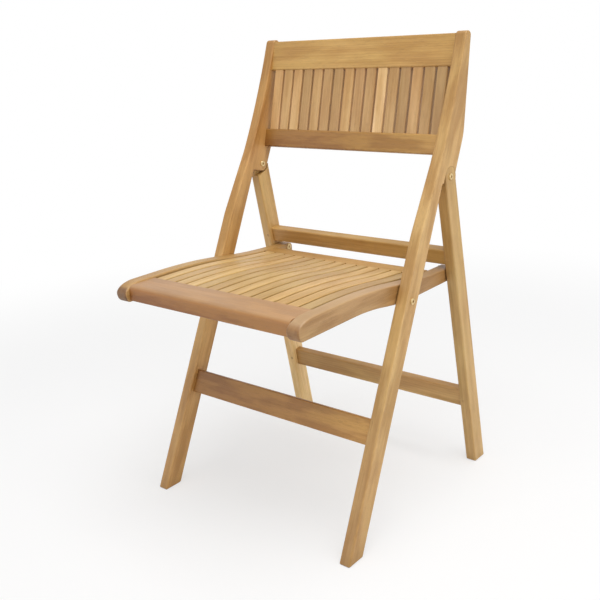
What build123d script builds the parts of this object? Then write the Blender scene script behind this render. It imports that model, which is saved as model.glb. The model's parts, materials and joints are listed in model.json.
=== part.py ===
from build123d import *
from math import atan2, cos, degrees, radians, sin, sqrt, tan
import os

# A slatted wooden folding chair standing open on the floor, in millimetres.
# It faces -Y, the sitter's left is +X, and the floor is Z = 0.
# Side-view points are (y, z) pairs.

# Overall size
frame_width = 480.0
overall_depth = 550.0
overall_height = 866.6

# Uprights: front leg and back post in one curved board
upright_thickness = 22.4
upright_width = 36.5
upright_lean = 25.4
knee_drop = 342.6
shoulder_drop = 222.6
post_lean = 31.1
post_top_lean = 23.34
post_top_depth = 18.5
post_sweep_radius = 1600.0
post_rear_lean = 9.5
knee_round = 160.0
rear_bend_round = 80.0
post_top_round = 8.0
edge_round = 3.0
foot_bevel = 2.0

# Rear legs, and the pivots on which they turn
rear_leg_thickness = 22.0
rear_leg_width = 36.6
rear_leg_lean = 10.1
leg_pivot_drop = 254.6
leg_pivot_setback = 39.17

# Half-lap knuckle where each rear leg turns on its upright
ear_reach = 15.5
ear_drop = 15.5
ear_tilt = 12.0
ear_corner_round = 13.0
lap_gap = 0.4
shoulder_gap = 1.5
shoulder_tip_drop = 5.0

# Seat pivot on the upright's centre line, and the guide pin in the rear leg's groove
seat_pivot_drop = 16.7
guide_pin_drop = 7.2
guide_pin_setback = 3.94
groove_width = 8.6
groove_depth = 7.0
groove_margin = 2.0
guide_pin_gap = 0.9

# Stretcher and rails between the legs, centred on them
stretcher_thickness = 18.0
stretcher_height = 45.6
stretcher_lift = 197.6
upper_rail_thickness = 20.0
upper_rail_height = 30.6
upper_rail_above_seat = 23.6
lower_rail_thickness = 17.0
lower_rail_height = 40.0
lower_rail_lift = 145.0
rail_edge_round = 2.5

# Back panel: a top rail, a bottom rail and upright slats between them
panel_height = 217.6
panel_setback = 43.0
panel_top_setback = 0.1
bottom_rail_height = 37.0
bottom_rail_thickness = 18.0
top_rail_height = 60.0
top_rail_thickness = 14.0
top_rail_drop = 2.9
back_slat_width = 21.8
back_slat_gap = 4.5
back_slat_end_gap = 9.0
back_slat_thickness = 11.0
back_slat_setback = 1.5
back_slat_tenon = 8.0
slat_bevel = 1.2

# Seat: two side rails, a front rail, a rear rail and slats let into them
seat_side_gap = 1.0
seat_rail_thickness = 26.0
seat_rear_top = 430.2
seat_rear_overhang = 13.0
seat_crest_rise = 24.9
seat_crest_length = 103.0
seat_flat_length = 20.0
seat_rail_front_depth = 34.6
seat_rail_rear_depth = 26.2
seat_belly_front_length = 145.0
seat_belly_rear_length = 143.0
nose_rise = 16.5
nose_under_length = 13.0
nose_over_length = 40.0
seat_rail_round = 3.5
seat_end_round = 8.0
slat_drop = 3.0
front_rail_depth = 61.0
front_rail_setback = 10.0
front_rail_lift = 3.0
front_rail_round = 10.0
front_tenon_inset = 14.0
rear_rail_inset = 55.0
rear_rail_depth = 39.0
rear_rail_thickness = 22.0
seat_slat_width = 22.0
seat_slat_gap = 4.5
seat_slat_end_gap = 7.0
seat_slat_thickness = 12.0
seat_slat_tenon = 9.0
seat_slat_cheek = 2.5

# Mortise and tenon joints
tenon_length = 14.0
tenon_cheek = 4.5
tenon_shoulder = 5.0
slat_tenon_cheek = 2.0
mortise_clearance = 0.1
mortise_depth_clearance = 0.5
tenon_pin_radius = 3.0
tenon_pin_cover = 6.6

# Brass pivot bolts and barrel nuts
head_radius = 6.2
head_height = 1.8
head_bevel = 0.7
socket_radius = 2.6
socket_depth = 1.2
socket_sides = 6
barrel_radius = 4.0
shank_radius = 2.8
shank_clearance = 0.1
running_clearance = 0.06
head_gap = 0.25
barrel_end_gap = 1.0

# Widths that follow from the driving dimensions
frame_half = frame_width / 2
upright_inner = frame_half - upright_thickness
rear_leg_inner = frame_half - rear_leg_thickness
seat_half = upright_inner - seat_side_gap
seat_rail_inner = seat_half - seat_rail_thickness
lap_plane = frame_half - upright_thickness / 2
tongue_inner = lap_plane + lap_gap
tenon_pin_length = rear_leg_width - tenon_pin_cover


# Side-view helpers
def from_point(point, lean, down, back):
    """A point down and back from another, along a line that leans back by lean degrees as it rises."""
    a = radians(lean)
    return (point[0] - sin(a) * down + cos(a) * back, point[1] - cos(a) * down - sin(a) * back)


def at_height(point, lean, height):
    """The point at a height on the line through a point that leans back by lean degrees."""
    return (point[0] + (height - point[1]) * tan(radians(lean)), height)


def meeting(p, p_lean, q, q_lean):
    """Where two leaning lines cross."""
    tp = tan(radians(p_lean))
    tq = tan(radians(q_lean))
    height = (q[0] - p[0] + p[1] * tp - q[1] * tq) / (tp - tq)
    return at_height(p, p_lean, height)


def leg_offset(point, other, lean):
    """How far down and back from a point another point lies, along a leaning line."""
    a = radians(lean)
    dy = other[0] - point[0]
    dz = other[1] - point[1]
    return (-sin(a) * dy - cos(a) * dz, cos(a) * dy - sin(a) * dz)


def side_plane(x, point=(0, 0), lean=0):
    """A plane facing +X at x, with its own up axis leaning back by lean degrees."""
    a = radians(lean)
    return Plane(origin=(x, *point), x_dir=(0, cos(a), -sin(a)), z_dir=(1, 0, 0))


def near(builder, point):
    """The sketch corner nearest to a point."""
    return builder.vertices().sort_by_distance((*point, 0))[0]


def leaning_box(point, lean, up, down, front, back):
    """A rectangle in the sketch being built, about a point and square to a leaning line."""
    corners = ((-up, -front), (down, -front), (down, back), (-up, back))
    Polygon([from_point(point, lean, *corner) for corner in corners], align=None)


def outline_edges(builder, low):
    """Edges of the two side faces, apart from those that lie on the floor."""
    sides = builder.faces().filter_by(Axis.X)
    return sides.edges().filter_by(lambda edge: edge.center().Z > low)


def bevel_foot():
    """A small bevel round the foot of the leg being built."""
    chamfer(faces().sort_by(Axis.Z)[0].edges(), length=foot_bevel)


def upper_faces(builder):
    """Faces that look up more than sideways."""
    return builder.faces().filter_by(
        lambda face: face.normal_at().Z > abs(face.normal_at().X) + abs(face.normal_at().Y)
    )


# Side-view places, from the rear foot up to the leg pivot and from there down the upright
rear_lean = -rear_leg_lean
fold_angle = upright_lean + rear_leg_lean
rear_foot = (overall_depth / 2 - rear_leg_width / 2 / cos(radians(rear_leg_lean)), 0)
leg_pivot = at_height(rear_foot, rear_lean, overall_height - leg_pivot_drop)
upright_axis = from_point(leg_pivot, upright_lean, 0, -leg_pivot_setback)
seat_pivot = at_height(upright_axis, upright_lean, seat_rear_top - seat_pivot_drop)
guide_line = from_point(leg_pivot, rear_lean, 0, guide_pin_setback)
guide_pin = at_height(guide_line, rear_lean, seat_rear_top - guide_pin_drop)
stretcher_at = at_height(seat_pivot, upright_lean, stretcher_lift)
upper_rail_at = at_height(leg_pivot, rear_lean, seat_rear_top + upper_rail_above_seat)
lower_rail_at = at_height(leg_pivot, rear_lean, lower_rail_lift)

# The upright's front edge, and the back panel set behind it
front_line = from_point(seat_pivot, upright_lean, 0, -upright_width / 2)
knee = at_height(front_line, upright_lean, overall_height - knee_drop)
shoulder = at_height(knee, post_lean, overall_height - shoulder_drop)
top_front = at_height(shoulder, post_top_lean, overall_height)
panel_foot = (shoulder[0] + panel_setback, overall_height - panel_height)
panel_rise = panel_height - top_rail_drop
panel_run = top_front[0] + panel_top_setback - panel_foot[0]
panel_lean = degrees(atan2(panel_run, panel_rise))
panel_length = sqrt(panel_rise**2 + panel_run**2)
bottom_rail_at = from_point(panel_foot, panel_lean, -bottom_rail_height / 2, bottom_rail_thickness / 2)
top_rail_at = from_point(panel_foot, panel_lean, top_rail_height / 2 - panel_length, top_rail_thickness / 2)

# The seat's side-view places, from its nose and from its rear end
seat_nose_y = -overall_depth / 2
seat_rear_end = guide_pin[0] + seat_rear_overhang
seat_crest_y = seat_nose_y + seat_crest_length
seat_flat_y = seat_rear_end - seat_flat_length
crest_top = seat_rear_top + seat_crest_rise
belly_front = crest_top - seat_rail_front_depth
belly_rear = seat_rear_top - seat_rail_rear_depth
nose_height = belly_front + nose_rise
slat_top_high = crest_top - slat_drop
slat_top_low = seat_rear_top
front_rail_front_y = seat_nose_y + front_rail_setback
front_rail_rear_y = front_rail_front_y + front_rail_depth
front_rail_bottom = belly_front + front_rail_lift
front_rail_height = slat_top_high - front_rail_bottom
front_rail_at = (front_rail_front_y + front_rail_depth / 2, front_rail_bottom + front_rail_height / 2)
front_tenon_depth = front_rail_depth - 2 * front_tenon_inset
front_tenon_thickness = front_rail_height - 2 * tenon_shoulder
rear_rail_rear_y = seat_rear_end - rear_rail_inset
rear_rail_front_y = rear_rail_rear_y - rear_rail_depth


# The seat's side-view curve: level at the front, falling to a lower level at the rear
def curve_radius(front_y, rear_y, rise):
    run = rear_y - front_y
    return (run * run + rise * rise) / (4 * rise)


def slat_top(y):
    """Height of the slats' top at y, sunk below the side rails at the front and level with them at the rear."""
    middle = (seat_crest_y + seat_flat_y) / 2
    radius = curve_radius(seat_crest_y, seat_flat_y, slat_top_high - slat_top_low)
    if y <= seat_crest_y:
        return slat_top_high
    if y < middle:
        return slat_top_high - radius + sqrt(radius**2 - (y - seat_crest_y) ** 2)
    return slat_top_low + radius - sqrt(radius**2 - (seat_flat_y - y) ** 2)


def falling_curve(start_y, high_end_y, low_start_y, end_y, high, low):
    """A level line, two tangent arcs down and a level line again."""
    middle = ((high_end_y + low_start_y) / 2, (high + low) / 2)
    radius = curve_radius(high_end_y, low_start_y, high - low)
    Line((start_y, high), (high_end_y, high))
    RadiusArc((high_end_y, high), middle, radius)
    RadiusArc(middle, (low_start_y, low), -radius)
    Line((low_start_y, low), (end_y, low))


# The rear rail's top follows the slats
rear_rail_bottom = slat_top(rear_rail_rear_y) - rear_rail_thickness
rear_rail_at = (rear_rail_front_y + rear_rail_depth / 2, rear_rail_bottom + rear_rail_thickness / 2)
rear_tenon_depth = rear_rail_depth - 2 * tenon_shoulder
rear_tenon_thickness = rear_rail_thickness - 2 * tenon_shoulder


# Joints shared by the pieces that meet in them
def tenon_size(thickness, height):
    return (thickness - 2 * tenon_cheek, height - 2 * tenon_shoulder)


def rail_blank(place, lean, thickness, height, half_length):
    """A rail along X with a tenon on each end, added to the part being built."""
    with BuildSketch(side_plane(0, place, lean)) as section:
        Rectangle(thickness, height)
    body = extrude(section.sketch, amount=half_length, both=True)
    fillet(body.edges().filter_by(Axis.X), radius=rail_edge_round)
    with BuildSketch(side_plane(0, place, lean)) as tenon:
        Rectangle(*tenon_size(thickness, height))
    extrude(tenon.sketch, amount=half_length + tenon_length, both=True)


def cut_mortise(x, place, lean, size):
    """A blind mortise for a tenon, cut along +X from a leg's inner face."""
    with BuildSketch(side_plane(x, place, lean)) as mortise:
        Rectangle(size[0] + 2 * mortise_clearance, size[1] + 2 * mortise_clearance)
    extrude(mortise.sketch, amount=tenon_length + mortise_depth_clearance, mode=Mode.SUBTRACT)


def pin_plane(place):
    """A plane on a rear leg's front face, facing forward, in line with a rail's tenon."""
    y, z = from_point(place, rear_lean, 0, -rear_leg_width / 2)
    a = radians(rear_lean)
    return Plane(
        origin=(rear_leg_inner + tenon_length / 2, y, z), x_dir=(1, 0, 0), z_dir=(0, -cos(a), sin(a))
    )


def drill_pin_hole(place):
    """A blind hole for a tenon pin on the left, and its mirror image on the right."""
    with BuildSketch(pin_plane(place)) as hole:
        Circle(tenon_pin_radius + mortise_clearance)
    drilled = extrude(hole.sketch, amount=-tenon_pin_length - mortise_depth_clearance, mode=Mode.PRIVATE)
    add(drilled, mode=Mode.SUBTRACT)
    add(drilled.mirror(Plane.YZ), mode=Mode.SUBTRACT)


def cut_bore(x, point, radius, length):
    """A round hole along +X."""
    with BuildSketch(side_plane(x, point)) as bore:
        Circle(radius)
    extrude(bore.sketch, amount=length, mode=Mode.SUBTRACT)


def slat_places(half_space, width, pitch):
    """The x of as many slats as fit between two ends, in an even row about the middle."""
    count = int((2 * half_space - width) / pitch) + 1
    return [(i - (count - 1) / 2) * pitch for i in range(count)]


def save(builder, name):
    builder.part.label = name
    export_step(builder.part, f"parts/{name}.step")


def save_mirrored(builder, name):
    """The sitter's left piece as built, and its mirror image on the right."""
    save(builder, f"left_{name}")
    with BuildPart() as other:
        mirror(builder.part, about=Plane.YZ)
    save(other, f"right_{name}")


os.makedirs("parts", exist_ok=True)

# Uprights
rear_line = from_point(seat_pivot, upright_lean, 0, upright_width / 2)
ear_line = from_point(leg_pivot, upright_lean, 0, ear_reach)
ear_low = from_point(leg_pivot, ear_tilt, ear_drop, 0)
ear_low_lean = ear_tilt + 90
foot_front = at_height(front_line, upright_lean, 0)
foot_rear = at_height(rear_line, upright_lean, 0)
top_rear = (top_front[0] + post_top_depth, overall_height)
rear_bend = meeting(top_rear, post_rear_lean, ear_line, upright_lean)
ear_corner = meeting(ear_line, upright_lean, ear_low, ear_low_lean)
ear_root = meeting(rear_line, upright_lean, ear_low, ear_low_lean)
half_leg = rear_leg_width / 2
socket_wall = half_leg + lap_gap
socket_reach = 2 * socket_wall

with BuildPart() as upright:
    with BuildSketch(Plane.YZ.offset(upright_inner)) as board:
        with BuildLine():
            Polyline(foot_front, knee, shoulder)
            RadiusArc(shoulder, top_front, -post_sweep_radius)
            Polyline(top_front, top_rear, rear_bend, ear_corner, ear_root, foot_rear, foot_front)
        make_face()
        fillet([near(board, knee), near(board, shoulder)], radius=knee_round)
        fillet(near(board, rear_bend), radius=rear_bend_round)
        fillet([near(board, top_front), near(board, top_rear)], radius=post_top_round)
        fillet(near(board, ear_corner), radius=ear_corner_round)
    extrude(amount=upright_thickness)
    fillet(outline_edges(upright, edge_round), radius=edge_round)
    bevel_foot()
    # Socket in the outer half for the rear leg's rounded tongue, open to the rear and downwards
    with BuildSketch(Plane.YZ.offset(lap_plane)):
        leaning_box(leg_pivot, upright_lean, 0, socket_reach, socket_wall, socket_reach)
        with Locations(leg_pivot):
            Circle(socket_wall)
    extrude(amount=upright_thickness, mode=Mode.SUBTRACT)
    # Bolt holes and mortises
    cut_bore(upright_inner, leg_pivot, barrel_radius + shank_clearance, upright_thickness)
    cut_bore(upright_inner, seat_pivot, barrel_radius + shank_clearance, upright_thickness)
    cut_mortise(upright_inner, stretcher_at, upright_lean, tenon_size(stretcher_thickness, stretcher_height))
    bottom_tenon = tenon_size(bottom_rail_thickness, bottom_rail_height)
    cut_mortise(upright_inner, bottom_rail_at, panel_lean, bottom_tenon)
    cut_mortise(upright_inner, top_rail_at, panel_lean, tenon_size(top_rail_thickness, top_rail_height))
save_mirrored(upright, "upright")

# Rear legs
groove_down, groove_back = leg_offset(leg_pivot, guide_pin, rear_lean)
pivot_down, pivot_back = leg_offset(leg_pivot, seat_pivot, upright_lean)
pin_reach = sqrt((guide_pin[0] - seat_pivot[0]) ** 2 + (guide_pin[1] - seat_pivot[1]) ** 2)
folded_down = pivot_down + sqrt(pin_reach**2 - (groove_back - pivot_back) ** 2)
groove_middle = from_point(leg_pivot, rear_lean, (groove_down + folded_down) / 2, groove_back)
groove_end = from_point(leg_pivot, rear_lean, folded_down + groove_margin, groove_back)
shoulder_down = ear_drop + shoulder_gap
shoulder_lean = ear_tilt - fold_angle
leg_rear_line = from_point(leg_pivot, rear_lean, 0, half_leg)
leg_front_line = from_point(leg_pivot, rear_lean, 0, -half_leg)

with BuildPart() as rear_leg:
    with BuildSketch(Plane.YZ.offset(rear_leg_inner)):
        with BuildLine():
            Polyline(
                leg_front_line,
                at_height(leg_front_line, rear_lean, 0),
                at_height(leg_rear_line, rear_lean, 0),
                leg_rear_line,
                close=True,
            )
        make_face()
    extrude(amount=rear_leg_thickness)
    long_edges = outline_edges(rear_leg, edge_round).filter_by(lambda edge: edge.length > 2 * rear_leg_width)
    fillet(long_edges, radius=edge_round)
    bevel_foot()
    # The rounded end keeps sharp edges, so that it closes the upright's socket flush
    with BuildSketch(Plane.YZ.offset(rear_leg_inner)):
        with Locations(leg_pivot):
            Circle(half_leg)
    extrude(amount=rear_leg_thickness)
    # The inner half ends in a shoulder: hollow round the ear, and flat where it meets the ear when folded
    with BuildSketch(Plane.YZ.offset(rear_leg_inner)):
        leaning_box(leg_pivot, shoulder_lean, rear_leg_width, shoulder_down, rear_leg_width, 0)
        leaning_box(leg_pivot, rear_lean, rear_leg_width, shoulder_tip_drop, rear_leg_width, rear_leg_width)
        with Locations(leg_pivot):
            Circle(shoulder_down)
    extrude(amount=tongue_inner - rear_leg_inner, mode=Mode.SUBTRACT)
    # Blind groove for the seat's guide pin
    with BuildSketch(Plane.YZ.offset(rear_leg_inner)):
        SlotCenterPoint(groove_middle, groove_end, groove_width)
    extrude(amount=groove_depth, mode=Mode.SUBTRACT)
    cut_bore(rear_leg_inner, leg_pivot, barrel_radius + running_clearance, rear_leg_thickness)
    for place, thickness, height in (
        (upper_rail_at, upper_rail_thickness, upper_rail_height),
        (lower_rail_at, lower_rail_thickness, lower_rail_height),
    ):
        cut_mortise(rear_leg_inner, place, rear_lean, tenon_size(thickness, height))
        drill_pin_hole(place)
save_mirrored(rear_leg, "rear_leg")

# Stretcher between the front legs and rails between the rear legs
with BuildPart() as front_stretcher:
    rail_blank(stretcher_at, upright_lean, stretcher_thickness, stretcher_height, upright_inner)
save(front_stretcher, "front_stretcher")

with BuildPart() as upper_rear_rail:
    rail_blank(upper_rail_at, rear_lean, upper_rail_thickness, upper_rail_height, rear_leg_inner)
    drill_pin_hole(upper_rail_at)
save(upper_rear_rail, "upper_rear_rail")

with BuildPart() as lower_rear_rail:
    rail_blank(lower_rail_at, rear_lean, lower_rail_thickness, lower_rail_height, rear_leg_inner)
    drill_pin_hole(lower_rail_at)
save(lower_rear_rail, "lower_rear_rail")

# Pins that lock the rear rails' tenons, let in from the rear legs' front faces
with BuildPart() as tenon_pins:
    for place in (upper_rail_at, lower_rail_at):
        with BuildSketch(pin_plane(place)):
            Circle(tenon_pin_radius)
        extrude(amount=-tenon_pin_length)
    mirror(about=Plane.YZ)
save(tenon_pins, "tenon_pins")

# Back panel
back_slat_pitch = back_slat_width + back_slat_gap
back_slat_xs = slat_places(upright_inner - back_slat_end_gap, back_slat_width, back_slat_pitch)
slat_low = -bottom_rail_height
slat_high = top_rail_height - panel_length
slat_tenon_size = (back_slat_width - 2 * slat_tenon_cheek, back_slat_thickness - 2 * slat_tenon_cheek)
panel_axis = Axis((0, *panel_foot), (0, panel_run, panel_rise))


def panel_plane(down):
    """A plane across the back panel, facing up it, with its own y axis towards the panel's rear."""
    y, z = from_point(panel_foot, panel_lean, down, back_slat_setback + back_slat_thickness / 2)
    a = radians(panel_lean)
    return Plane(origin=(0, y, z), x_dir=(1, 0, 0), z_dir=(0, sin(a), cos(a)))


def cut_slat_mortises(down, depth):
    with BuildSketch(panel_plane(down)) as mortises:
        with Locations([(x, 0) for x in back_slat_xs]):
            Rectangle(slat_tenon_size[0] + 2 * mortise_clearance, slat_tenon_size[1] + 2 * mortise_clearance)
    extrude(mortises.sketch, amount=depth, mode=Mode.SUBTRACT)


slat_mortise_depth = back_slat_tenon + mortise_depth_clearance

with BuildPart() as back_bottom_rail:
    rail_blank(bottom_rail_at, panel_lean, bottom_rail_thickness, bottom_rail_height, upright_inner)
    cut_slat_mortises(slat_low, -slat_mortise_depth)
save(back_bottom_rail, "back_bottom_rail")

with BuildPart() as back_top_rail:
    rail_blank(top_rail_at, panel_lean, top_rail_thickness, top_rail_height, upright_inner)
    cut_slat_mortises(slat_high, slat_mortise_depth)
save(back_top_rail, "back_top_rail")

for number, x in enumerate(back_slat_xs, start=1):
    with BuildPart() as back_slat:
        with BuildSketch(panel_plane(slat_low)):
            with Locations((x, 0)):
                Rectangle(back_slat_width, back_slat_thickness)
        extrude(amount=slat_low - slat_high)
        chamfer(edges().filter_by(panel_axis), length=slat_bevel)
        with BuildSketch(panel_plane(slat_low + back_slat_tenon)):
            with Locations((x, 0)):
                Rectangle(*slat_tenon_size)
        extrude(amount=slat_low - slat_high + 2 * back_slat_tenon)
    save(back_slat, f"back_slat_{number:02d}")

# Seat side rails
belly_front_y = seat_nose_y + seat_belly_front_length
belly_rear_y = seat_rear_end - seat_belly_rear_length
rail_under = (seat_nose_y + nose_under_length, belly_front)
rail_over = (seat_nose_y + nose_over_length, crest_top)

with BuildPart() as seat_rail:
    with BuildSketch(Plane.YZ.offset(seat_rail_inner)) as side:
        with BuildLine():
            falling_curve(rail_over[0], seat_crest_y, seat_flat_y, seat_rear_end, crest_top, seat_rear_top)
            Line((seat_rear_end, seat_rear_top), (seat_rear_end, belly_rear))
            falling_curve(
                rail_under[0], belly_front_y, belly_rear_y, seat_rear_end, belly_front, belly_rear
            )
            EllipticalCenterArc(
                (rail_under[0], nose_height), nose_under_length, nose_height - belly_front, 180, arc_size=90
            )
            EllipticalCenterArc(
                (rail_over[0], nose_height), nose_over_length, crest_top - nose_height, 90, arc_size=90
            )
        make_face()
        rear_corners = [near(side, (seat_rear_end, seat_rear_top)), near(side, (seat_rear_end, belly_rear))]
        fillet(rear_corners, radius=seat_end_round)
    extrude(amount=seat_rail_thickness)
    fillet(outline_edges(seat_rail, 0), radius=seat_rail_round)
    cut_bore(seat_rail_inner, seat_pivot, barrel_radius + running_clearance, seat_rail_thickness)
    cut_bore(seat_rail_inner, guide_pin, barrel_radius + shank_clearance, seat_rail_thickness)
    cut_mortise(seat_rail_inner, front_rail_at, 0, (front_tenon_depth, front_tenon_thickness))
    cut_mortise(seat_rail_inner, rear_rail_at, 0, (rear_tenon_depth, rear_tenon_thickness))
save_mirrored(seat_rail, "seat_rail")

# Seat slats' places and tenons
seat_slat_pitch = seat_slat_width + seat_slat_gap
seat_slat_xs = slat_places(seat_rail_inner - seat_slat_end_gap, seat_slat_width, seat_slat_pitch)
seat_tenon_thickness = seat_slat_thickness - 2 * seat_slat_cheek
seat_tenon_width = seat_slat_width - 2 * slat_tenon_cheek


def slat_middle(y):
    return slat_top(y) - seat_slat_thickness / 2


def cut_seat_mortises(y, depth):
    """A row of mortises for the seat slats' tenons, cut along Y from a face at y."""
    with BuildSketch(Plane(origin=(0, y, slat_middle(y)), x_dir=(1, 0, 0), z_dir=(0, -1, 0))) as mortises:
        with Locations([(x, 0) for x in seat_slat_xs]):
            Rectangle(seat_tenon_width + 2 * mortise_clearance, seat_tenon_thickness + 2 * mortise_clearance)
    extrude(mortises.sketch, amount=depth, mode=Mode.SUBTRACT)


seat_mortise_depth = seat_slat_tenon + mortise_depth_clearance

# Seat front rail
with BuildPart() as seat_front_rail:
    with BuildSketch(side_plane(0, front_rail_at)):
        Rectangle(front_rail_depth, front_rail_height)
    extrude(amount=seat_rail_inner, both=True)
    front_edges = edges().filter_by(Axis.X).group_by(Axis.Y)[0].sort_by(Axis.Z)
    fillet(front_edges[0], radius=rail_edge_round)
    fillet(front_edges[-1], radius=front_rail_round)
    with BuildSketch(side_plane(0, front_rail_at)):
        Rectangle(front_tenon_depth, front_tenon_thickness)
    extrude(amount=seat_rail_inner + tenon_length, both=True)
    cut_seat_mortises(front_rail_rear_y, seat_mortise_depth)
save(seat_front_rail, "seat_front_rail")

# Seat rear rail
with BuildPart() as seat_rear_rail:
    with BuildSketch(Plane.YZ):
        Polygon(
            (rear_rail_front_y, rear_rail_bottom),
            (rear_rail_rear_y, rear_rail_bottom),
            (rear_rail_rear_y, slat_top(rear_rail_rear_y)),
            (rear_rail_front_y, slat_top(rear_rail_front_y)),
            align=None,
        )
    extrude(amount=seat_rail_inner, both=True)
    rear_edges = edges().filter_by(Axis.X).group_by(Axis.Y)[-1]
    fillet(rear_edges, radius=rail_edge_round)
    with BuildSketch(side_plane(0, rear_rail_at)):
        Rectangle(rear_tenon_depth, rear_tenon_thickness)
    extrude(amount=seat_rail_inner + tenon_length, both=True)
    cut_seat_mortises(rear_rail_front_y, -seat_mortise_depth)
save(seat_rear_rail, "seat_rear_rail")

# Seat slats, curved like the side rails
for number, x in enumerate(seat_slat_xs, start=1):
    with BuildPart() as seat_slat:
        with BuildSketch(Plane.YZ.offset(x)):
            with BuildLine():
                for sink in (0, seat_slat_thickness):
                    falling_curve(
                        front_rail_rear_y,
                        seat_crest_y,
                        seat_flat_y,
                        seat_rear_end,
                        slat_top_high - sink,
                        slat_top_low - sink,
                    )
                for y, top in ((front_rail_rear_y, slat_top_high), (seat_rear_end, slat_top_low)):
                    Line((y, top), (y, top - seat_slat_thickness))
            make_face()
        extrude(amount=seat_slat_width / 2, both=True)
        split(bisect_by=Plane(origin=(0, rear_rail_front_y, 0), z_dir=(0, -1, 0)), keep=Keep.TOP)
        chamfer(upper_faces(seat_slat).edges().filter_by(Axis.X, reverse=True), length=slat_bevel)
        with BuildSketch(Plane.YZ.offset(x)):
            for y, side in ((front_rail_rear_y, Align.MAX), (rear_rail_front_y, Align.MIN)):
                with Locations((y, slat_middle(y))):
                    Rectangle(seat_slat_tenon, seat_tenon_thickness, align=(side, Align.CENTER))
        extrude(amount=seat_tenon_width / 2, both=True)
    save(seat_slat, f"seat_slat_{number:02d}")


# Brass hardware: screws with a socket head, and barrel nuts that they thread into
def screw(face_x, point, length, radius, outward):
    """A socket-head screw: its head stands outward of face_x and its shank runs the other way."""
    with BuildSketch(side_plane(face_x, point)) as disc:
        Circle(head_radius)
    head = extrude(disc.sketch, amount=outward * head_height)
    rim = head.edges().filter_by(GeomType.CIRCLE).sort_by(Axis.X)[-1 if outward > 0 else 0]
    chamfer(rim, length=head_bevel)
    with BuildSketch(side_plane(face_x + outward * (head_height - socket_depth), point)) as socket:
        RegularPolygon(socket_radius, socket_sides)
    extrude(socket.sketch, amount=outward * head_height, mode=Mode.SUBTRACT)
    with BuildSketch(side_plane(face_x, point)) as shank:
        Circle(radius)
    extrude(shank.sketch, amount=-outward * length)


def pivot_set(point, outer_face, inner_face, name):
    """A bolt from outside and a barrel nut from inside, on both sides of the chair."""
    barrel_length = outer_face - inner_face - barrel_end_gap
    with BuildPart() as bolts:
        screw(outer_face, point, barrel_length - barrel_end_gap, shank_radius, 1)
        mirror(about=Plane.YZ)
    save(bolts, f"{name}_bolts")
    with BuildPart() as nuts:
        screw(inner_face, point, barrel_length, barrel_radius, -1)
        cut_bore(inner_face + barrel_end_gap, point, shank_radius + shank_clearance, barrel_length)
        mirror(about=Plane.YZ)
    save(nuts, f"{name}_nuts")


pivot_set(leg_pivot, frame_half + head_gap, upright_inner, "leg_pivot")
pivot_set(seat_pivot, frame_half, seat_rail_inner - head_gap, "seat_pivot")

with BuildPart() as guide_pins:
    guide_length = rear_leg_inner - guide_pin_gap - seat_rail_inner
    screw(seat_rail_inner, guide_pin, guide_length, barrel_radius, -1)
    mirror(about=Plane.YZ)
save(guide_pins, "seat_guide_pins")
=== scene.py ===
import bpy
import json
import random
from math import cos, radians, sin
from mathutils import Color, Matrix, Vector


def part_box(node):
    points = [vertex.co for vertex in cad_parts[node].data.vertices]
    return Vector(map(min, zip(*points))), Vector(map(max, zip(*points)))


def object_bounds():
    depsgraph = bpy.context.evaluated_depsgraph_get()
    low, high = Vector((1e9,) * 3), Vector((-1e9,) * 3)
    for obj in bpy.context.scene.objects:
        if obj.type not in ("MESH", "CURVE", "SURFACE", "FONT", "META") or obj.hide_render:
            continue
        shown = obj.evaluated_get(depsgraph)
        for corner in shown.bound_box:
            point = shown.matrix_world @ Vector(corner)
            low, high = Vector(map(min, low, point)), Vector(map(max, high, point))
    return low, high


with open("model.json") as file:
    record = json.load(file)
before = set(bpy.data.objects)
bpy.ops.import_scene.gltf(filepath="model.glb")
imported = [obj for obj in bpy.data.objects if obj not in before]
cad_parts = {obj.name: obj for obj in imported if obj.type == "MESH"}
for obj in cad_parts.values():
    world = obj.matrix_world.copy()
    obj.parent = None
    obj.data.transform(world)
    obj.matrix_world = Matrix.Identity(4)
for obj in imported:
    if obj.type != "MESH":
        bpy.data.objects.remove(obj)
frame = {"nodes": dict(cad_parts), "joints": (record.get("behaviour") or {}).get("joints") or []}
cad_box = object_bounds()

# A slatted teak folding chair, seen from the sitter's left front.
# Metres, in the chair's own frame. Left and right are the sitter's.

# Camera, as it stood for the photograph
CAMERA_PLACE = Vector((1.00937, -1.2, 0.87942))
CAMERA_YAW = radians(40.148)
CAMERA_PITCH = radians(14.809)
CAMERA_ROLL = radians(-3.309)
SENSOR_WIDTH = 36.0
LENS = 51.09
LENS_SHIFT = (-0.0005, -0.07)

# Directions in the chair, and how far its frames lean back, or forward with a minus
UP = Vector((0, 0, 1))
ACROSS = Vector((1, 0, 0))
FORE_AND_AFT = Vector((0, 1, 0))
UPRIGHT_LEAN = radians(25.4)
REAR_LEG_LEAN = radians(-10.1)
PANEL_LEAN = radians(13.9)

# Growth rings: their width and how far it varies, and the part of a year that is late wood
RING_WIDTH = 0.0052
RING_UNEVENNESS = 2.7
RING_UNEVENNESS_SCALE = 0.35
RING_UNEVENNESS_DETAIL = 1.0
LATE_WOOD_RISE = (0.1, 0.85)
LATE_WOOD_FALL = (0.9, 1.0)

# Where a board may lie in its log: how far from the pith, and how far along
PITH_NEAR = 0.03
PITH_FAR = 0.13
LOG_LENGTH = 20.0

# Patterns in the wood: how fine across the grain, how fine along it, and their levels of detail
WANDER = (9.0, 2.2, 2.0)
STREAK = (130.0, 4.0, 3.0)
CLOUD = (48.0, 9.0, 3.0)
DRIFT = (12.0, 4.5, 2.0)
FIBRE = (1100.0, 40.0, 1.0)
PORE = (1500.0, 90.0, 0.0)
WANDER_SIZE = 0.012
NOISE_MEAN = 0.5

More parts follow.
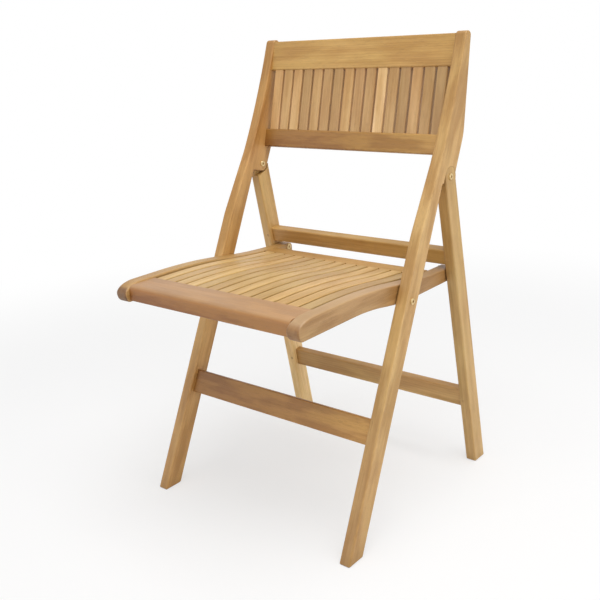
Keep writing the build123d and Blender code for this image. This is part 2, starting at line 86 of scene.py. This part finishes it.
# Ranges of those patterns that run from none to full
STREAK_RANGE = (0.3, 0.75)
CLOUD_RANGE = (0.3, 0.7)
DRIFT_RANGE = (0.32, 0.68)
PORE_RANGE = (0.62, 0.72)

# Depth of colour, from 0 in a board's pale wood to 1 in its deep wood, and the deep wood's tint
MEAN_DEPTH = 0.25
LATE_WOOD_DEPTH = 0.25
STREAK_DEPTH = 0.35
CLOUD_DEPTH = (-0.5, 0.5)
DEEPER = (0.74, 0.66, 0.5)

# Fine flecks of fibres and pores
FLECK_DARKEST = 0.92
FLECK_CONTRAST = 0.16
PORE_DARKNESS = 0.12

# The wood's hue drifts between these along a board
OLIVE_CAST = (0.995, 1.01, 0.94, 1.0)
RUDDY_CAST = (1.015, 0.985, 0.97, 1.0)

# Relief and gloss of the wood
FIBRE_HEIGHT = 0.6
LATE_WOOD_HEIGHT = 0.5
WOOD_BUMP_STRENGTH = 0.35
WOOD_BUMP_DISTANCE = 0.0004
WOOD_ROUGHNESS = 0.36
WOOD_ROUGHNESS_SPREAD = 0.2
WOOD_SPECULAR = 0.65

# Faces that look up are paler, as painted sheen and partly oil rubbed off, and feet are soiled up to an
# uneven height
SHEEN_AND_WEAR_COLOUR = "#c8a77f"
SHEEN_AND_WEAR_RANGE = (0.35, 0.9)
SOIL_TINT = (0.8, 0.76, 0.62, 1.0)
SOIL_RANGE = (0.01, 0.05)
SOIL_UNEVENNESS = 0.03

# End grain, at the front or the foot of a piece
END_RANGE = (-0.66, -0.36)
END_TINT = (0.58, 0.48, 0.42, 1.0)
PALE_END_TINT = (0.75, 0.63, 0.5, 1.0)
DARK_END_TINT = (0.44, 0.36, 0.33, 1.0)
PIN_END_TINT = "#e6dccb"

# Boards of teak by their pale wood, and how light a board is
STOCKS = {
    "copper": "#c7995a",
    "gold": "#c49c61",
    "straw": "#cda96f",
    "russet": "#ab7439",
    "amber": "#bd9351",
    "rose": "#b68f5d",
    "honey": "#caa26e",
    "sapwood": "#d1b082",
    "cinnamon": "#af7f3b",
}
TONES = {"bright": 1.36, "light": 1.16, "pale": 1.08, "mid": 1.0, "tan": 0.94, "brown": 0.87}
PLAIN_FIGURE = 0.8
EVEN_RUN = (0.0, 0.0, 0.0)

# Slats, from the sitter's right to left
BACK_TONES = "light pale light tan pale mid tan light mid mid bright mid brown pale tan brown".split()
SEAT_TONES = "pale tan mid light tan tan mid pale mid tan light pale light brown".split()
# The back slats are deeper at the head: painted shade under the top rail
BACK_SLAT_SHADE_RUN = (-0.15, -0.05, 0.35)
# How much the seat slats' faces that look up are paled: painted sheen, and partly oil rubbed off
SEAT_SLAT_SHEEN_AND_WEAR = 0.1

# Brass of the bolts, nuts and pins, darker and less metallic in the sockets of their heads: painted shade
# in those recesses
BRASS_BRIGHT = "#dcc594"
BRASS_TARNISHED = "#c4a56c"
BRASS_SOCKET_SHADE = "#b08c58"
TARNISH_SCALE = 260.0
TARNISH_RANGE = (0.4, 0.7)
BRASS_SPOT_SCALE = 900.0
BRASS_ROUGHNESS = 0.25
BRASS_ROUGHNESS_SPREAD = 0.25
BRASS_METALLIC = 0.75
SHADED_SOCKET_METALLIC = 0.25
SOCKET_EDGE = (0.0024, 0.0028)
BRASS_BUMP_STRENGTH = 0.15
BRASS_BUMP_DISTANCE = 0.0002

# Where a mix node keeps its colours among its inputs and outputs
MIX_FIRST_COLOUR = 6
MIX_SECOND_COLOUR = 7
MIX_RESULT_COLOUR = 2

# Stage
FLOOR_RADIUS = 4.0
FLOOR_FADE = (0.9, 2.0)
FLOOR_COLOUR = (0.92, 0.92, 0.92, 1.0)
FLOOR_GLOW = 0.6
WHITE = (1.0, 1.0, 1.0, 1.0)
WORLD_LIGHT = 0.4

# Lamps: name, place, width and watts
LAMPS = (
    ("sky", Vector((0.7, -0.3, 3.2)), 2.4, 72),
    ("window", Vector((3.0, 0.0, 0.6)), 1.8, 31),
    ("fill", Vector((-1.7, -3.0, 0.6)), 2.2, 19),
)


def leaning(angle):
    """A direction that leans back from straight up."""
    return Vector((0, sin(angle), cos(angle)))


def linear(hex_colour):
    """A colour written as #rrggbb, in linear light."""
    parts = [part / 255 for part in bytes.fromhex(hex_colour[1:])]
    return [*Color(parts).from_srgb_to_scene_linear(), 1.0]


class Graph:
    """Adds nodes to a node tree and joins them with short calls."""

    def __init__(self, tree):
        self.tree = tree

    def node(self, kind, **settings):
        made = self.tree.nodes.new(kind)
        for key, value in settings.items():
            setattr(made, key, value)
        return made

    def put(self, socket, value):
        if isinstance(value, bpy.types.NodeSocket):
            self.tree.links.new(value, socket)
        else:
            socket.default_value = value

    def math(self, operation, *values):
        made = self.node("ShaderNodeMath", operation=operation)
        for socket, value in zip(made.inputs, values):
            self.put(socket, value)
        return made.outputs[0]

    def vector(self, operation, *values):
        made = self.node("ShaderNodeVectorMath", operation=operation)
        for socket, value in zip(made.inputs, values):
            self.put(socket, value)
        return made.outputs["Value" if operation in ("DOT_PRODUCT", "LENGTH") else "Vector"]

    def combine(self, *values):
        made = self.node("ShaderNodeCombineXYZ")
        for socket, value in zip(made.inputs, values):
            self.put(socket, value)
        return made.outputs[0]

    def noise(self, vector, scale=1.0, detail=2.0):
        made = self.node("ShaderNodeTexNoise")
        self.put(made.inputs["Vector"], vector)
        made.inputs["Scale"].default_value = scale
        made.inputs["Detail"].default_value = detail
        return made.outputs["Fac"]

    def spread(self, value, low, high, to_low=0.0, to_high=1.0):
        """A smooth step from one value to another."""
        made = self.node("ShaderNodeMapRange", interpolation_type="SMOOTHSTEP")
        for socket, given in zip(made.inputs, (value, low, high, to_low, to_high)):
            self.put(socket, given)
        return made.outputs[0]

    def mix(self, factor, first, second, blend="MIX"):
        made = self.node("ShaderNodeMix", data_type="RGBA", blend_type=blend)
        self.put(made.inputs["Factor"], factor)
        self.put(made.inputs[MIX_FIRST_COLOUR], first)
        self.put(made.inputs[MIX_SECOND_COLOUR], second)
        return made.outputs[MIX_RESULT_COLOUR]

    def tint(self, colour, by):
        """One colour multiplied by another."""
        return self.mix(1.0, colour, by, "MULTIPLY")

    def colour(self, *parts):
        made = self.node("ShaderNodeCombineColor")
        for socket, part in zip(made.inputs, parts):
            self.put(socket, part)
        return made.outputs[0]

    def bump(self, height, strength, distance):
        made = self.node("ShaderNodeBump")
        made.inputs["Strength"].default_value = strength
        made.inputs["Distance"].default_value = distance
        self.put(made.inputs["Height"], height)
        return made.outputs[0]

    def in_plain_sight(self):
        """1 for what the camera, gloss or glass shows, and 0 for light that falls on things."""
        path = self.node("ShaderNodeLightPath").outputs
        seen = self.math("MAXIMUM", path["Is Camera Ray"], path["Is Glossy Ray"])
        return self.math("MAXIMUM", seen, path["Is Transmission Ray"])


def new_material(name):
    """A material with its graph and its shader."""
    material = bpy.data.materials.new(name)
    material.use_nodes = True
    return material, Graph(material.node_tree), material.node_tree.nodes["Principled BSDF"]


def paint(node, material):
    """Give a piece one material in place of its own."""
    piece = frame["nodes"][node]
    piece.data.materials.clear()
    piece.data.materials.append(material)


# Teak, sawn from a log: rings about a pith that lies beside the board, fibres along it
def teak_group():
    group = bpy.data.node_groups.new("teak", "ShaderNodeTree")
    for name, kind in (
        ("Centre", "NodeSocketVector"),
        ("Grain", "NodeSocketVector"),
        ("Side", "NodeSocketVector"),
        ("Pith", "NodeSocketVector"),
        ("Shift", "NodeSocketFloat"),
        ("Figure", "NodeSocketFloat"),
        ("Sheen and wear", "NodeSocketFloat"),
        ("Run", "NodeSocketVector"),
        ("Pale", "NodeSocketColor"),
        ("Deep", "NodeSocketColor"),
        ("End", "NodeSocketColor"),
    ):
        group.interface.new_socket(name=name, in_out="INPUT", socket_type=kind)
    for name, kind in (
        ("Colour", "NodeSocketColor"),
        ("Roughness", "NodeSocketFloat"),
        ("Normal", "NodeSocketVector"),
    ):
        group.interface.new_socket(name=name, in_out="OUTPUT", socket_type=kind)
    g = Graph(group)
    given = g.node("NodeGroupInput").outputs
    where = g.node("ShaderNodeTexCoord").outputs
    thickness = g.vector("CROSS_PRODUCT", given["Grain"], given["Side"])
    from_centre = g.vector("SUBTRACT", where["Object"], given["Centre"])
    from_middle = g.vector("DOT_PRODUCT", from_centre, given["Grain"])
    along = g.math("ADD", from_middle, given["Shift"])
    side = g.vector("DOT_PRODUCT", from_centre, given["Side"])
    face = g.vector("DOT_PRODUCT", from_centre, thickness)

    def pattern(across, lengthwise, detail):
        """Noise that is drawn out along the grain."""
        place = g.combine(
            g.math("MULTIPLY", side, across),
            g.math("MULTIPLY", face, across),
            g.math("MULTIPLY", along, lengthwise),
        )
        return g.noise(place, detail=detail)

    # Growth rings of uneven width
    wander = g.math("SUBTRACT", pattern(*WANDER), NOISE_MEAN)
    from_pith = g.vector("ADD", g.combine(side, face, 0.0), given["Pith"])
    radius = g.math("MULTIPLY_ADD", wander, WANDER_SIZE, g.vector("LENGTH", from_pith))
    year = g.math("DIVIDE", radius, RING_WIDTH)
    place = g.combine(year, given["Shift"], 0.0)
    uneven = g.noise(place, RING_UNEVENNESS_SCALE, RING_UNEVENNESS_DETAIL)
    ring = g.math("FRACT", g.math("MULTIPLY_ADD", uneven, RING_UNEVENNESS, year))
    late_wood = g.spread(ring, *LATE_WOOD_RISE)
    late_wood = g.math("MULTIPLY", late_wood, g.spread(ring, *LATE_WOOD_FALL, 1.0, 0.0))

    # Streaks, clouds, fibres and pores
    streak = pattern(*STREAK)
    cloud = pattern(*CLOUD)
    drift = g.spread(pattern(*DRIFT), *DRIFT_RANGE)
    fibre = pattern(*FIBRE)
    pore = g.spread(pattern(*PORE), *PORE_RANGE)

    # Colour of the fresh board
    depth = g.math("MULTIPLY_ADD", late_wood, LATE_WOOD_DEPTH, MEAN_DEPTH)
    depth = g.math("MULTIPLY_ADD", g.spread(streak, *STREAK_RANGE), STREAK_DEPTH, depth)
    depth = g.math("MULTIPLY_ADD", g.spread(cloud, *CLOUD_RANGE, *CLOUD_DEPTH), given["Figure"], depth)
    colour = g.mix(depth, given["Pale"], given["Deep"])
    colour = g.tint(colour, g.mix(drift, OLIVE_CAST, RUDDY_CAST))

    # The board gets deeper or paler from end to end: painted shade and light that falls along the piece,
    # with some of the board's own drift in tone
    squared = g.math("MULTIPLY", from_middle, from_middle)
    run = g.vector("DOT_PRODUCT", given["Run"], g.combine(1.0, from_middle, squared))
    colour = g.tint(colour, g.colour(*[g.math("POWER", part, run) for part in DEEPER]))

    # Flecks
    fleck = g.math("MULTIPLY_ADD", fibre, FLECK_CONTRAST, FLECK_DARKEST)
    fleck = g.math("MULTIPLY", fleck, g.math("MULTIPLY_ADD", pore, -PORE_DARKNESS, 1.0))
    colour = g.tint(colour, g.colour(fleck, fleck, fleck))

    # Faces that look up are paled: painted sheen, and partly faces that are sat on losing their oil
    facing_up = g.vector("DOT_PRODUCT", where["Normal"], UP)
    sheen_and_wear_amount = g.math("MULTIPLY", g.spread(facing_up, *SHEEN_AND_WEAR_RANGE), given["Sheen and wear"])
    colour = g.mix(sheen_and_wear_amount, colour, linear(SHEEN_AND_WEAR_COLOUR))

    # Feet pick up dirt from the floor
    above_floor = g.vector("DOT_PRODUCT", where["Object"], UP)
    above_dirt = g.math("MULTIPLY_ADD", cloud, SOIL_UNEVENNESS, above_floor)
    soiled = g.spread(above_dirt, *SOIL_RANGE, 1.0, 0.0)
    colour = g.mix(soiled, colour, g.tint(colour, SOIL_TINT))

    # End grain drinks more oil
    facing_along = g.vector("DOT_PRODUCT", where["Normal"], given["Grain"])
    end = g.spread(facing_along, *END_RANGE, 1.0, 0.0)
    colour = g.mix(end, colour, g.tint(colour, given["End"]))

    height = g.math("MULTIPLY", late_wood, LATE_WOOD_HEIGHT)
    height = g.math("MULTIPLY_ADD", fibre, FIBRE_HEIGHT, height)
    height = g.math("SUBTRACT", height, pore)
    result = g.node("NodeGroupOutput").inputs
    g.put(result["Colour"], colour)
    g.put(result["Roughness"], g.math("MULTIPLY_ADD", streak, WOOD_ROUGHNESS_SPREAD, WOOD_ROUGHNESS))
    g.put(result["Normal"], g.bump(height, WOOD_BUMP_STRENGTH, WOOD_BUMP_DISTANCE))
    return group


TEAK = teak_group()


def wood(node, grain, side, stock, tone, figure=PLAIN_FIGURE, sheen_and_wear=0.0, end=END_TINT, run=EVEN_RUN):
    """Teak for one piece, with its own place in the log.

    The figure is the strength of its clouds. The run says how much deeper its colour is
    at the start, the middle and the end of the piece along the grain: painted shade and light
    that falls along the piece, with some of the board's own drift in tone. Its faces that
    look up are paled: painted sheen, and partly oil rubbed off where it is sat on.
    """
    low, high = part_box(node)
    draw = random.Random(node)
    turn = draw.uniform(0, radians(360))
    reach = draw.uniform(PITH_NEAR, PITH_FAR)
    shift = draw.uniform(0, LOG_LENGTH)
    pale = [part * TONES[tone] for part in linear(STOCKS[stock])[:3]]
    deep = [part * factor for part, factor in zip(pale, DEEPER)]
    start, middle, finish = run
    half = sum(abs(part) * length for part, length in zip(grain, high - low)) / 2
    slope = (finish - start) / 2 / half
    bend = ((start + finish) / 2 - middle) / half**2
    material, g, shader = new_material(f"teak_{node}")
    teak = g.node("ShaderNodeGroup", node_tree=TEAK)
    for name, value in (
        ("Centre", (low + high) / 2),
        ("Grain", grain),
        ("Side", side),
        ("Pith", (reach * cos(turn), reach * sin(turn), 0)),
        ("Shift", shift),
        ("Figure", figure),
        ("Sheen and wear", sheen_and_wear),
        ("Run", (middle, slope, bend)),
        ("Pale", pale + [1.0]),
        ("Deep", deep + [1.0]),
        ("End", end),
    ):
        teak.inputs[name].default_value = value
    g.put(shader.inputs["Base Color"], teak.outputs["Colour"])
    g.put(shader.inputs["Roughness"], teak.outputs["Roughness"])
    g.put(shader.inputs["Normal"], teak.outputs["Normal"])
    shader.inputs["Specular IOR Level"].default_value = WOOD_SPECULAR
    paint(node, material)


def brass(node, axis_y, axis_z):
    """Brass for pieces that lie along one line across the chair."""
    material, g, shader = new_material(f"brass_{node}")
    place = g.node("ShaderNodeTexCoord").outputs["Object"]
    spot = g.noise(place, scale=BRASS_SPOT_SCALE)
    tarnish = g.spread(g.noise(place, scale=TARNISH_SCALE), *TARNISH_RANGE)
    from_axis = g.vector("MULTIPLY", g.vector("SUBTRACT", place, (0, axis_y, axis_z)), (0, 1, 1))
    # Painted shade: near the line of each pivot, in the socket of a head, the brass is darker and less
    # metallic
    socket = g.spread(g.vector("LENGTH", from_axis), *SOCKET_EDGE, 1.0, 0.0)
    colour = g.mix(tarnish, linear(BRASS_BRIGHT), linear(BRASS_TARNISHED))
    roughness = g.math("MULTIPLY_ADD", spot, BRASS_ROUGHNESS_SPREAD, BRASS_ROUGHNESS)
    metallic = g.math("MULTIPLY_ADD", socket, SHADED_SOCKET_METALLIC - BRASS_METALLIC, BRASS_METALLIC)
    g.put(shader.inputs["Base Color"], g.mix(socket, colour, linear(BRASS_SOCKET_SHADE)))
    g.put(shader.inputs["Roughness"], roughness)
    g.put(shader.inputs["Metallic"], metallic)
    g.put(shader.inputs["Normal"], g.bump(spot, BRASS_BUMP_STRENGTH, BRASS_BUMP_DISTANCE))
    paint(node, material)


# Boards of the frames. A run goes from foot to head, or from the sitter's right to left, and paints shade
# and light that falls along the piece, with some of the board's own drift in tone.
UPRIGHT_GRAIN = leaning(UPRIGHT_LEAN)
REAR_LEG_GRAIN = leaning(REAR_LEG_LEAN)
PANEL_GRAIN = leaning(PANEL_LEAN)
wood("left_upright", UPRIGHT_GRAIN, ACROSS, "gold", "mid", figure=1.3, run=(0.6, -0.25, 0.4))
wood("right_upright", UPRIGHT_GRAIN, ACROSS, "copper", "mid", figure=1.2, run=(0.25, -0.2, 0.85))
wood("left_rear_leg", REAR_LEG_GRAIN, ACROSS, "straw", "mid", run=(-0.15, 0.25, 0.5))
wood("right_rear_leg", REAR_LEG_GRAIN, ACROSS, "straw", "light", run=(-1.05, -0.6, 0.65))
wood("back_top_rail", ACROSS, PANEL_GRAIN, "amber", "pale", run=(0.05, -0.4, 0.15))
wood("back_bottom_rail", ACROSS, PANEL_GRAIN, "cinnamon", "tan", figure=1.8, run=(0.7, 0.05, -1.4))
wood("front_stretcher", ACROSS, UPRIGHT_GRAIN, "cinnamon", "pale", figure=1.7, run=(1.2, 0.2, -0.8))
wood("upper_rear_rail", ACROSS, REAR_LEG_GRAIN, "amber", "pale", run=(-0.5, -0.15, -0.1))
wood("lower_rear_rail", ACROSS, REAR_LEG_GRAIN, "gold", "pale", run=(1.1, -0.05, -0.2))
wood("tenon_pins", leaning(radians(90) + REAR_LEG_LEAN), ACROSS, "straw", "mid", end=linear(PIN_END_TINT))

# Boards of the seat. A side rail's run goes from front to rear. The runs paint shade and light that falls
# along each piece, with some of its own drift in tone, and faces that look up are paled as painted sheen,
# partly oil rubbed off.
wood(
    "left_seat_rail", FORE_AND_AFT, ACROSS, "rose", "tan",
    figure=1.3, sheen_and_wear=0.5, end=PALE_END_TINT, run=(0.05, 0.25, 1.2),
)
wood("right_seat_rail", FORE_AND_AFT, ACROSS, "gold", "tan", end=DARK_END_TINT, run=(0.1, 0.1, 0.1))
wood(
    "seat_front_rail", ACROSS, FORE_AND_AFT, "russet", "mid",
    figure=2.0, sheen_and_wear=0.42, run=(0.6, 0.15, -0.15),
)
wood("seat_rear_rail", ACROSS, FORE_AND_AFT, "gold", "pale", run=(1.35, 0.1, 0.35))

# Slats, of which the bright one is sapwood
for number, tone in enumerate(BACK_TONES, start=1):
    stock = "sapwood" if tone == "bright" else "honey"
    wood(f"back_slat_{number:02d}", PANEL_GRAIN, ACROSS, stock, tone, run=BACK_SLAT_SHADE_RUN)
for number, tone in enumerate(SEAT_TONES, start=1):
    wood(f"seat_slat_{number:02d}", FORE_AND_AFT, ACROSS, "straw", tone, sheen_and_wear=SEAT_SLAT_SHEEN_AND_WEAR)

# Fasteners on the two pivots, and the guide pins
pivots = {joint["name"]: joint["pos_m"] for joint in frame["joints"]}
for node, joint in (
    ("leg_pivot_bolts", "rear_frame_fold"),
    ("leg_pivot_nuts", "rear_frame_fold"),
    ("seat_pivot_bolts", "seat_fold"),
    ("seat_pivot_nuts", "seat_fold"),
):
    brass(node, pivots[joint][1], pivots[joint][2])
guide_low, guide_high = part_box("seat_guide_pins")
guide_centre = (guide_low + guide_high) / 2
brass("seat_guide_pins", guide_centre.y, guide_centre.z)


# Floor: pale, and white further off
def make_floor():
    mesh = bpy.data.meshes.new("floor")
    corners = [(x * FLOOR_RADIUS, y * FLOOR_RADIUS, 0) for x, y in ((-1, -1), (1, -1), (1, 1), (-1, 1))]
    mesh.from_pydata(corners, [], [(0, 1, 2, 3)])
    floor = bpy.data.objects.new("floor", mesh)
    bpy.context.scene.collection.objects.link(floor)
    material, g, shader = new_material("floor_white")
    nodes = material.node_tree.nodes
    nodes.remove(shader)
    matt = g.node("ShaderNodeBsdfDiffuse")
    matt.inputs["Color"].default_value = FLOOR_COLOUR
    glow = g.node("ShaderNodeEmission")
    away = g.vector("LENGTH", g.node("ShaderNodeTexCoord").outputs["Object"])
    fade = g.spread(away, *FLOOR_FADE, FLOOR_GLOW, 1.0)
    blend = g.node("ShaderNodeMixShader")
    g.put(blend.inputs["Fac"], g.math("MULTIPLY", fade, g.in_plain_sight()))
    g.put(blend.inputs[1], matt.outputs[0])
    g.put(blend.inputs[2], glow.outputs[0])
    g.put(nodes["Material Output"].inputs["Surface"], blend.outputs[0])
    mesh.materials.append(material)


# Light: an even white room and soft lamps
def make_world():
    world = bpy.data.worlds.new("room")
    bpy.context.scene.world = world
    world.use_nodes = True
    g = Graph(world.node_tree)
    background = world.node_tree.nodes["Background"]
    background.inputs["Color"].default_value = WHITE
    g.put(background.inputs["Strength"], g.spread(g.in_plain_sight(), 0.0, 1.0, WORLD_LIGHT, 1.0))


def make_lamp(name, place, width, watts, target):
    """A square lamp that faces a point."""
    lamp = bpy.data.lights.new(name, "AREA")
    lamp.shape = "SQUARE"
    lamp.size = width
    lamp.energy = watts
    holder = bpy.data.objects.new(name, lamp)
    bpy.context.scene.collection.objects.link(holder)
    holder.location = place
    holder.rotation_euler = (target - place).to_track_quat("-Z", "Y").to_euler()


def make_camera():
    level = cos(CAMERA_PITCH)
    back = Vector((sin(CAMERA_YAW) * level, -cos(CAMERA_YAW) * level, sin(CAMERA_PITCH)))
    level_right = (-back).cross(UP).normalized()
    level_up = level_right.cross(-back)
    right = cos(CAMERA_ROLL) * level_right + sin(CAMERA_ROLL) * level_up
    up = -sin(CAMERA_ROLL) * level_right + cos(CAMERA_ROLL) * level_up
    data = bpy.data.cameras.new("camera")
    data.sensor_fit = "HORIZONTAL"
    data.sensor_width = SENSOR_WIDTH
    data.lens = LENS
    data.shift_x, data.shift_y = LENS_SHIFT
    camera = bpy.data.objects.new("camera", data)
    bpy.context.scene.collection.objects.link(camera)
    turn = Matrix((right, up, back)).transposed().to_4x4()
    camera.matrix_world = Matrix.Translation(CAMERA_PLACE) @ turn
    bpy.context.scene.camera = camera


make_floor()
make_world()
chair_middle = (cad_box[0] + cad_box[1]) / 2
for name, place, width, watts in LAMPS:
    make_lamp(name, place, width, watts, chair_middle)
make_camera()
bpy.context.scene.view_settings.view_transform = "Standard"
